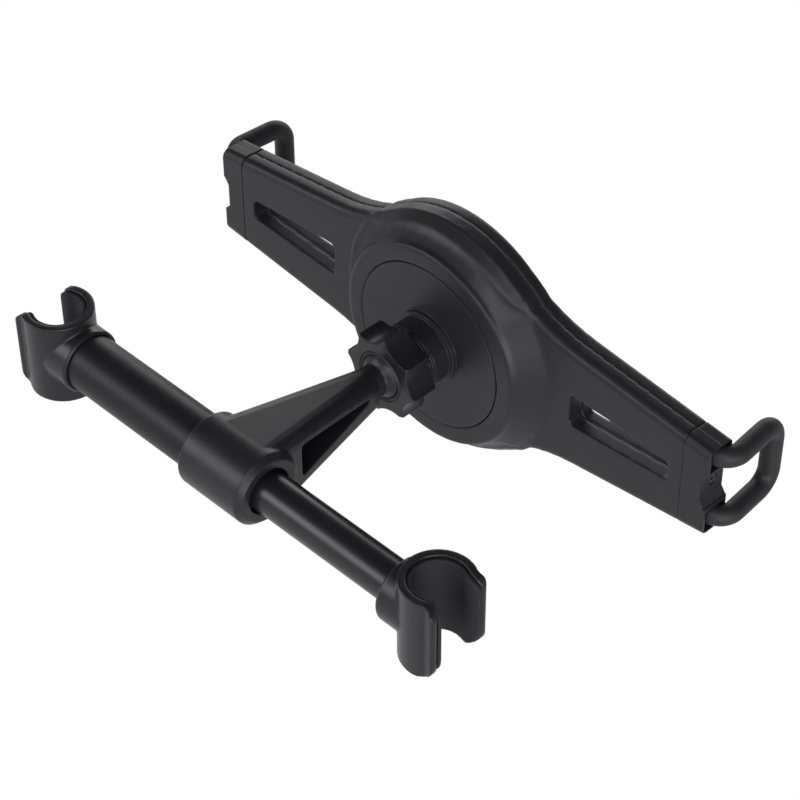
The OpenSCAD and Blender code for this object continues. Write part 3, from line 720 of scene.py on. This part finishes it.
class MOUNT_OT_hooks(bpy.types.Operator):
    """Moulds the two post hooks and their liners, with lips that curl outwards"""
    bl_idname = "mount.hooks"
    bl_label = "Hooks"
    # in millimetres: gaps round the bar and behind the liner, the liner's step back, the collar's chamfer
    bar_gap, liner_gap, liner_step = 0.05, 0.12, 0.8
    chamfer_long, chamfer_deep = 0.7, 0.5

    def compass(self, angle):
        """Direction in the plane of the ring."""
        return Vector((math.cos(angle), math.sin(angle)))

    def lip(self, s, inner, outer):
        """Upper lip, from the outer side of the ring round its tip to the inner side."""
        gap, bend = s.half_gap, s.half_gap + s.lip_turn
        middle_r = (s.shell_inner + s.hook_outer) / 2 + s.lip_radius
        centre = middle_r * Vector((-math.cos(gap), math.sin(gap)))
        out = Vector((math.cos(bend), -math.sin(bend)))
        on = Vector((-math.sin(bend), -math.cos(bend)))
        turns = [-gap - s.lip_turn * i / 8 for i in range(1, 9)]
        outside = [centre + (middle_r - outer) * self.compass(a) for a in turns]
        inside = [centre + (middle_r - inner) * self.compass(a) for a in turns]
        tip = []
        for i in range(7):
            b = math.radians(30 * i)
            tip.append(centre + (middle_r - (outer + inner) / 2) * out + s.lip_end * on
                       + (outer - inner) / 2 * (math.sin(b) * on - math.cos(b) * out))
        return outside + tip + inside[::-1]

    def ring(self, s, inner, outer):
        """Outline of a ring that is open towards -X, with both lips."""
        end = math.pi - s.half_gap
        angles = [end * (i / 30 - 1) for i in range(61)]
        outside = [outer * self.compass(a) for a in angles]
        inside = [inner * self.compass(a) for a in reversed(angles)]
        upper = self.lip(s, inner, outer)
        lower = [Vector((p.x, -p.y)) for p in reversed(upper)]
        return outside + upper + inside + lower

    def band(self, s, inner, outer, up, down):
        """Ring of a height whose prong tips are rounded in the side view."""
        tip = -max(-p.x for p in self.ring(s, s.shell_inner, s.hook_outer)) - 0.02
        back = s.hook_outer + 1
        side = rounded([(tip, -down), (back, -down), (back, up), (tip, up)],
                       (s.tip_low, 0.1, 0.1, s.tip_high))
        flat = [tuple(p) for p in self.ring(s, inner, outer)]
        return carved(prism(flat, 2, -down, up), [prism(side, 1, -30, 30)], "INTERSECT")

    def place(self, obj, right):
        """Mirrors a right hook's mesh to its post, so that it opens outwards too."""
        if right:
            mirror = Matrix.Diagonal((-1, 1, 1, 1))
            obj.data.transform(Matrix.Translation((HOOK_PITCH * MM, 0, 0)) @ mirror)
            outward(obj)

    def execute(self, context):
        s = pieces()
        for node, body, bore in (("left_hook", "bar", TUBE_RADIUS), ("right_hook", "rod", ROD_RADIUS)):
            right = node == "right_hook"
            band = self.band(s, s.shell_inner, s.hook_outer, s.hook_up, s.hook_down)
            rim = s.collar_radius
            end = s.collar_reach
            collar = turned([(0, 0), (rim, 0), (rim, end - self.chamfer_long),
                             (rim - self.chamfer_deep, end), (0, end)], 0)
            carved(collar, [round_bar(s.shell_inner, 2, -25, 25),
                            round_bar(bore + self.bar_gap, 0, TUBE_START, 30)])
            hook = fused([band, collar])
            self.place(hook, right)
            soften(hook, voxel=0.00026, passes=5, keep=0.5)
            stand_in(hook, node, body)
            liner = self.band(s, s.post_radius, s.shell_inner - self.liner_gap,
                              s.hook_up - self.liner_step, s.hook_down - self.liner_step)
            self.place(liner, right)
            soften(liner, voxel=0.00022, passes=4, keep=0.5)
            stand_in(liner, node + "_liner", body)
        return {"FINISHED"}


class MOUNT_OT_arm(bpy.types.Operator):
    """Moulds the arm: hub on the tube, tapered beam with side pockets, neck and ball"""
    bl_idname = "mount.arm"
    bl_label = "Arm"

    # in millimetres: gap round the tube, where the beam starts inside the hub, and its stations
    tube_gap, beam_start, stations = 0.05, 1.5, 12
    # power by which the beam narrows towards the neck
    narrowing = 0.94
    # the hub: depth of its open mouth, gap round the rod in it, chamfer of the far rim
    mouth_depth, mouth_gap, rim_chamfer = 2.8, 0.9, 0.5
    # the beam's section: inset from the hub's ends, margin round the neck, rounds of its lower edges
    end_inset, neck_margin, low_rounds = 0.5, 0.1, (1.4, 2.2)
    # how far its top and foot lie inside the hub, and its foot below the neck
    top_inset, foot_inset, foot_drop = 0.15, 0.1, 0.9
    # the pockets: gaps to the hub and to the neck, and heights of top and foot at both ends
    hub_wall, neck_wall = 3.4, 4.5
    pocket_near, pocket_far = (5.6, -6.2), (0.8, -0.4)

    def section(self, s, k):
        """Rounded section of the beam at the share k of its length."""
        def mix(a, b):
            return a + (b - a) * k
        wide, narrow = s.hub_width / 2 - self.end_inset, s.neck_radius + self.neck_margin
        width = wide + (narrow - wide) * k ** self.narrowing
        top = mix(s.hub_radius - self.top_inset, narrow)
        low = mix(self.foot_inset - s.hub_radius, -s.neck_radius - self.foot_drop)
        upper, lower = mix(s.beam_round, s.neck_radius - self.neck_margin), mix(*self.low_rounds)
        corners = [(width, top), (-width, top), (-width, low), (width, low)]
        return rounded(corners, (upper, upper, lower, lower), 4)

    def beam(self, s):
        """Skin through the sections, from inside the hub to the neck."""
        shares = [i / self.stations for i in range(self.stations + 1)]
        rings = [self.section(s, k) for k in shares]
        n = len(rings[0])
        points = []
        for k, ring in zip(shares, rings):
            y = self.beam_start + (s.beam_end - self.beam_start) * k
            points += [(BALL.x / MM + u, y, v) for u, v in ring]
        faces = [tuple(range(n)), tuple(range(self.stations * n, (self.stations + 1) * n))]
        for i in range(self.stations):
            faces += [(i * n + j, i * n + (j + 1) % n, (i + 1) * n + (j + 1) % n, (i + 1) * n + j)
                      for j in range(n)]
        return loose(points, faces)

    def hub(self, s, centre):
        """Sleeve on the tube, with a chamfer and an open mouth on the rod's side."""
        half, outer, bore = s.hub_width / 2, s.hub_radius, TUBE_RADIUS + self.tube_gap
        mouth = ROD_RADIUS + self.mouth_gap
        floor = half - self.mouth_depth
        return turned([(bore, -half), (outer - self.rim_chamfer, -half), (outer, self.rim_chamfer - half),
                       (outer, half - s.hub_chamfer), (outer - s.hub_chamfer, half),
                       (mouth, half), (mouth, floor), (bore, floor)], 0, centre)

    def pockets(self, s, mid):
        """Tools for the tapered pocket on each side of the web."""
        near, far = s.hub_radius + self.hub_wall, s.beam_end - self.neck_wall
        (near_top, near_foot), (far_top, far_foot) = self.pocket_near, self.pocket_far
        outline = rounded([(near, near_top), (near, near_foot), (far, far_foot), (far, far_top)],
                          (1.0, 1.0, 0.4, 0.4))
        return [prism(outline, 0, mid + s.web / 2, mid + 30), prism(outline, 0, mid - 30, mid - s.web / 2)]

    def execute(self, context):
        s = pieces()
        mid = BALL.x / MM
        centre = (mid, 0, 0)
        ball_depth = ARM_REACH - s.ball_radius
        hub = self.hub(s, centre)
        tube = round_bar(TUBE_RADIUS + self.tube_gap + 0.6, 0, -20, 20, centre)
        beam = carved(self.beam(s), [tube, *self.pockets(s, mid)])
        neck = round_bar(s.neck_radius, 1, s.beam_end - 3, ball_depth, centre)
        arc = [math.pi * i / 32 for i in range(33)]
        ball = turned([(s.ball_radius * math.sin(a), ball_depth - s.ball_radius * math.cos(a)) for a in arc],
                      1, centre)
        arm = fused([hub, beam, neck, ball])
        soften(arm, voxel=0.00027, passes=5, keep=0.45)
        stand_in(arm, "arm", "bar")
        return {"FINISHED"}


class MOUNT_OT_thread(bpy.types.Operator):
    """Cuts the visible turns of the socket's thread"""
    bl_idname = "mount.thread"
    bl_label = "Socket thread"

    def execute(self, context):
        s = pieces()
        gap, sunk, lead = 0.0006, -0.00015, 0.45
        start = KNOB_BACK + gap
        turns, steps, run_out = 2.2, 48, 10
        # shares of the pitch along the neck, and heights above it
        profile = [(-0.42, sunk), (-0.16, s.thread_height), (0.16, s.thread_height), (0.42, sunk)]
        points, faces = [], []
        total = int(turns * steps)
        for i in range(total + 1):
            a = 2 * math.pi * i / steps
            fade = min(1.0, i / run_out, (total - i) / run_out)
            for along, out in profile:
                r = NECK_RADIUS + (out if out < 0 else out * fade)
                y = start + s.thread_pitch * (i / steps + lead + along)
                points.append((BALL.x + r * math.cos(a), y, BALL.z + r * math.sin(a)))
        for i in range(total):
            for k in range(4):
                a, b = i * 4 + k, i * 4 + (k + 1) % 4
                faces.append((a, b, b + 4, a + 4))
        faces.append((0, 1, 2, 3))
        faces.append(tuple(total * 4 + k for k in (3, 2, 1, 0)))
        made = new_piece("socket_thread", points, faces, bpy.data.materials["knob plastic"])
        outward(made)
        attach(made, "cradle")
        return {"FINISHED"}


WIRE_LEAN = 0.0018


def wire_path(node, side):
    """Corner points of a jaw's wire, from the box of its CAD node."""
    low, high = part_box(node)
    r = pieces().wire_diameter / 2
    inner = low.x if side > 0 else high.x
    outer = (high.x - r) if side > 0 else (low.x + r)
    lean = WIRE_LEAN * side
    base = low.y + r
    front = high.y - r
    top = high.z - r
    foot = low.z + r
    return [Vector((inner, base, top)), Vector((outer, base, top)), Vector((outer - lean, front, top)),
            Vector((outer - lean, front, foot)), Vector((outer, base, foot)), Vector((inner, base, foot))]


class MOUNT_OT_wires(bpy.types.Operator):
    """Bends the coated wires of the two jaws with a node tree"""
    bl_idname = "mount.wires"
    bl_label = "Jaw wires"

    def tree(self, material):
        """Curve with rounded corners swept by a ring, from named sizes."""
        group = bpy.data.node_groups.new("coated wire", "GeometryNodeTree")
        face = group.interface
        face.new_socket("Geometry", in_out="INPUT", socket_type="NodeSocketGeometry")
        for name in ("Wire radius", "Bend radius"):
            face.new_socket(name, in_out="INPUT", socket_type="NodeSocketFloat")
        face.new_socket("Bend steps", in_out="INPUT", socket_type="NodeSocketInt")
        face.new_socket("Geometry", in_out="OUTPUT", socket_type="NodeSocketGeometry")
        new, link = group.nodes.new, group.links.new
        source, sink = new("NodeGroupInput"), new("NodeGroupOutput")
        fillet = new("GeometryNodeFilletCurve")
        fillet.mode = "POLY"
        ring = new("GeometryNodeCurvePrimitiveCircle")
        ring.inputs["Resolution"].default_value = 40
        sweep = new("GeometryNodeCurveToMesh")
        sweep.inputs["Fill Caps"].default_value = True
        shade = new("GeometryNodeSetShadeSmooth")
        real = new("GeometryNodeRealizeInstances")
        paint = new("GeometryNodeSetMaterial")
        paint.inputs["Material"].default_value = material
        link(source.outputs["Geometry"], fillet.inputs["Curve"])
        link(source.outputs["Bend radius"], fillet.inputs["Radius"])
        link(source.outputs["Bend steps"], fillet.inputs["Count"])
        link(source.outputs["Wire radius"], ring.inputs["Radius"])
        link(fillet.outputs[0], sweep.inputs["Curve"])
        link(ring.outputs[0], sweep.inputs["Profile Curve"])
        link(sweep.outputs[0], shade.inputs[0])
        link(shade.outputs[0], real.inputs[0])
        link(real.outputs[0], paint.inputs["Geometry"])
        link(paint.outputs[0], sink.inputs["Geometry"])
        return group

    def execute(self, context):
        s = pieces()
        look = finishes()
        coat = rubber("wire coating", scaled(look.rubber_colour, 1.15), look.coating_roughness,
                      look.edge_round / 3, cell=5200.0)
        group = self.tree(coat)
        keys = {i.name: i.identifier for i in group.interface.items_tree if i.in_out == "INPUT"}
        for side, node, body in ((-1, "left_loop", "left_jaw"), (1, "right_loop", "right_jaw")):
            data = bpy.data.curves.new(node + "_path", "CURVE")
            data.dimensions = "3D"
            corners = wire_path(node, side)
            line = data.splines.new("POLY")
            line.points.add(len(corners) - 1)
            for point, corner in zip(line.points, corners):
                point.co = (*corner, 1.0)
            path = bpy.data.objects.new(node + "_path", data)
            bpy.context.scene.collection.objects.link(path)
            maker = path.modifiers.new("wire", "NODES")
            maker.node_group = group
            maker[keys["Wire radius"]] = s.wire_diameter / 2
            maker[keys["Bend radius"]] = s.wire_bend
            maker[keys["Bend steps"]] = s.bend_steps
            bpy.context.view_layer.update()
            seen = path.evaluated_get(bpy.context.evaluated_depsgraph_get())
            mesh = bpy.data.meshes.new_from_object(seen)
            made = bpy.data.objects.new(node + "_wire", mesh)
            bpy.context.scene.collection.objects.link(made)
            bpy.data.objects.remove(path)
            outward(made)
            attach(made, body)
            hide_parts(node)
        return {"FINISHED"}


def area_light(name, power, size, at, towards):
    """Rectangular soft light aimed at a point."""
    data = bpy.data.lights.new(name, "AREA")
    data.energy = power
    data.shape = "RECTANGLE"
    data.size, data.size_y = size
    lamp = bpy.data.objects.new(name, data)
    lamp.location = at
    lamp.rotation_euler = (Vector(towards) - Vector(at)).to_track_quat("-Z", "Y").to_euler()
    bpy.context.scene.collection.objects.link(lamp)


class MOUNT_OT_studio(bpy.types.Operator):
    """Sets up the floor, the lights, the white surround and the camera"""
    bl_idname = "mount.studio"
    bl_label = "Studio"

    def execute(self, context):
        s = bpy.context.scene.mount_studio
        scene = bpy.context.scene
        scene.view_settings.view_transform = "Standard"
        self.surround(s)
        self.floor(s)
        target = (BALL.x, 0.05, 0.0)
        for name, power, size, (x, y, z) in (
                ("key light", s.key_power, (0.9, 0.45), (-0.62, -0.80, 0.48)),
                ("back light", s.back_power, (1.1, 0.5), (-0.55, 0.95, 0.35)),
                ("front light", s.front_power, (0.9, 0.5), (0.52, -0.70, 0.66)),
                ("right light", s.right_power, (0.8, 0.5), (1.00, -0.35, -0.02))):
            area_light(name, power, size, (BALL.x + x, y, z), target)
        self.camera(s)
        return {"FINISHED"}

    def surround(self, s):
        """Dim light for the object, white for the camera, white horizon and dark ceiling in reflections."""
        world = bpy.data.worlds.new("studio")
        bpy.context.scene.world = world
        world.use_nodes = True
        nodes, link = world.node_tree.nodes, world.node_tree.links.new
        nodes.clear()
        out = nodes.new("ShaderNodeOutputWorld")
        place = nodes.new("ShaderNodeTexCoord")
        parts = nodes.new("ShaderNodeSeparateXYZ")
        rays = nodes.new("ShaderNodeLightPath")
        gloss = nodes.new("ShaderNodeMath")
        gloss.operation = "MAXIMUM"
        link(place.outputs["Generated"], parts.inputs[0])
        link(rays.outputs["Is Glossy Ray"], gloss.inputs[0])
        link(rays.outputs["Is Transmission Ray"], gloss.inputs[1])
        shades = []
        for start, end, horizon, ceiling in ((0.45, 0.85, s.horizon_light, s.ceiling_light),
                                             (0.02, 0.38, 1.0, s.mirrored_ceiling), (0.0, 1.0, 1.0, 1.0)):
            height = nodes.new("ShaderNodeMapRange")
            height.interpolation_type = "SMOOTHSTEP"
            for slot, value in zip(height.inputs[1:5], (start, end, horizon, ceiling)):
                slot.default_value = value
            shade = nodes.new("ShaderNodeBackground")
            link(parts.outputs[2], height.inputs[0])
            link(height.outputs[0], shade.inputs["Strength"])
            shades.append(shade)
        lit, mirrored, seen = shades
        for factor, other in ((gloss.outputs[0], mirrored), (rays.outputs["Is Camera Ray"], seen)):
            mix = nodes.new("ShaderNodeMixShader")
            link(factor, mix.inputs[0])
            link(lit.outputs[0], mix.inputs[1])
            link(other.outputs[0], mix.inputs[2])
            lit = mix
        link(lit.outputs[0], out.inputs[0])

    def floor(self, s):
        """Pale floor under the object that the camera sees as white."""
        drop, half = 0.055, 3
        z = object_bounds()[0][2] - drop
        corners = [(-half, -half, z), (half, -half, z), (half, half, z), (-half, half, z)]
        made = new_piece("floor", corners, [(0, 1, 2, 3)], self.floor_finish(s), smooth=False)
        made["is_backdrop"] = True

    def floor_finish(self, s):
        f = Finish("studio floor", Roughness=0.9)
        f.set("Base Color", (*s.floor_colour, 1.0))
        glow = f.tree.nodes.new("ShaderNodeEmission")
        glow.inputs["Strength"].default_value = 1.0
        rays = f.tree.nodes.new("ShaderNodeLightPath")
        camera, glossy, through = (Wire(f, rays.outputs[name]) for name in (
            "Is Camera Ray", "Is Glossy Ray", "Is Transmission Ray"))
        mix = f.tree.nodes.new("ShaderNodeMixShader")
        f.feed(mix.inputs[0], camera + (glossy + through) * s.floor_mirrored)
        f.tree.links.new(f.shader.outputs[0], mix.inputs[1])
        f.tree.links.new(glow.outputs[0], mix.inputs[2])
        f.tree.links.new(mix.outputs[0], f.tree.nodes["Material Output"].inputs[0])
        return f.material

    def camera(self, s):
        """Camera at the photograph's place, with its small roll."""
        at = Vector((0.4695, -0.3204, 0.4741))
        towards = Vector((0.09567, 0.04867, 0.00573))
        roll = math.radians(-0.296)
        ahead = (towards - at).normalized()
        right = ahead.cross(Vector((0, 0, 1))).normalized()
        up = right.cross(ahead)
        side = right * math.cos(roll) + up * math.sin(roll)
        top = up * math.cos(roll) - right * math.sin(roll)
        data = bpy.data.cameras.new("camera")
        data.lens = s.focal
        data.sensor_width = 36.0
        data.sensor_fit = "HORIZONTAL"
        data.clip_end = 10.0
        camera = bpy.data.objects.new("camera", data)
        camera.matrix_world = Matrix((
            (side.x, top.x, -ahead.x, at.x), (side.y, top.y, -ahead.y, at.y),
            (side.z, top.z, -ahead.z, at.z), (0, 0, 0, 1)))
        bpy.context.scene.collection.objects.link(camera)
        bpy.context.scene.camera = camera


class MOUNT_PT_panel(bpy.types.Panel):
    bl_label = "Headrest tablet mount"
    bl_idname = "MOUNT_PT_panel"
    bl_space_type = "VIEW_3D"
    bl_region_type = "UI"
    bl_category = "Mount"

    def draw(self, context):
        scene = context.scene
        for title, group in (("Finishes", scene.mount_finish), ("Pieces", scene.mount_pieces),
                             ("Studio", scene.mount_studio)):
            box = self.layout.box()
            box.label(text=title)
            for name in group.__annotations__:
                box.prop(group, name)
        for operator in OPERATORS:
            self.layout.operator(operator.bl_idname)


OPERATORS = (MOUNT_OT_finishes, MOUNT_OT_mouldings, MOUNT_OT_flank, MOUNT_OT_hooks,
             MOUNT_OT_arm, MOUNT_OT_thread, MOUNT_OT_wires, MOUNT_OT_studio)
CLASSES = (FinishSettings, PieceSettings, StudioSettings, *OPERATORS, MOUNT_PT_panel)


def register():
    for item in CLASSES:
        bpy.utils.register_class(item)
    bpy.types.Scene.mount_finish = PointerProperty(type=FinishSettings)
    bpy.types.Scene.mount_pieces = PointerProperty(type=PieceSettings)
    bpy.types.Scene.mount_studio = PointerProperty(type=StudioSettings)


def unregister():
    del bpy.types.Scene.mount_studio
    del bpy.types.Scene.mount_pieces
    del bpy.types.Scene.mount_finish
    for item in reversed(CLASSES):
        bpy.utils.unregister_class(item)


def main():
    register()
    bpy.ops.mount.finishes()
    bpy.ops.mount.mouldings()
    bpy.ops.mount.flank()
    bpy.ops.mount.hooks()
    bpy.ops.mount.arm()
    bpy.ops.mount.thread()
    bpy.ops.mount.wires()
    bpy.ops.mount.studio()


if __name__ == "__main__":
    main()
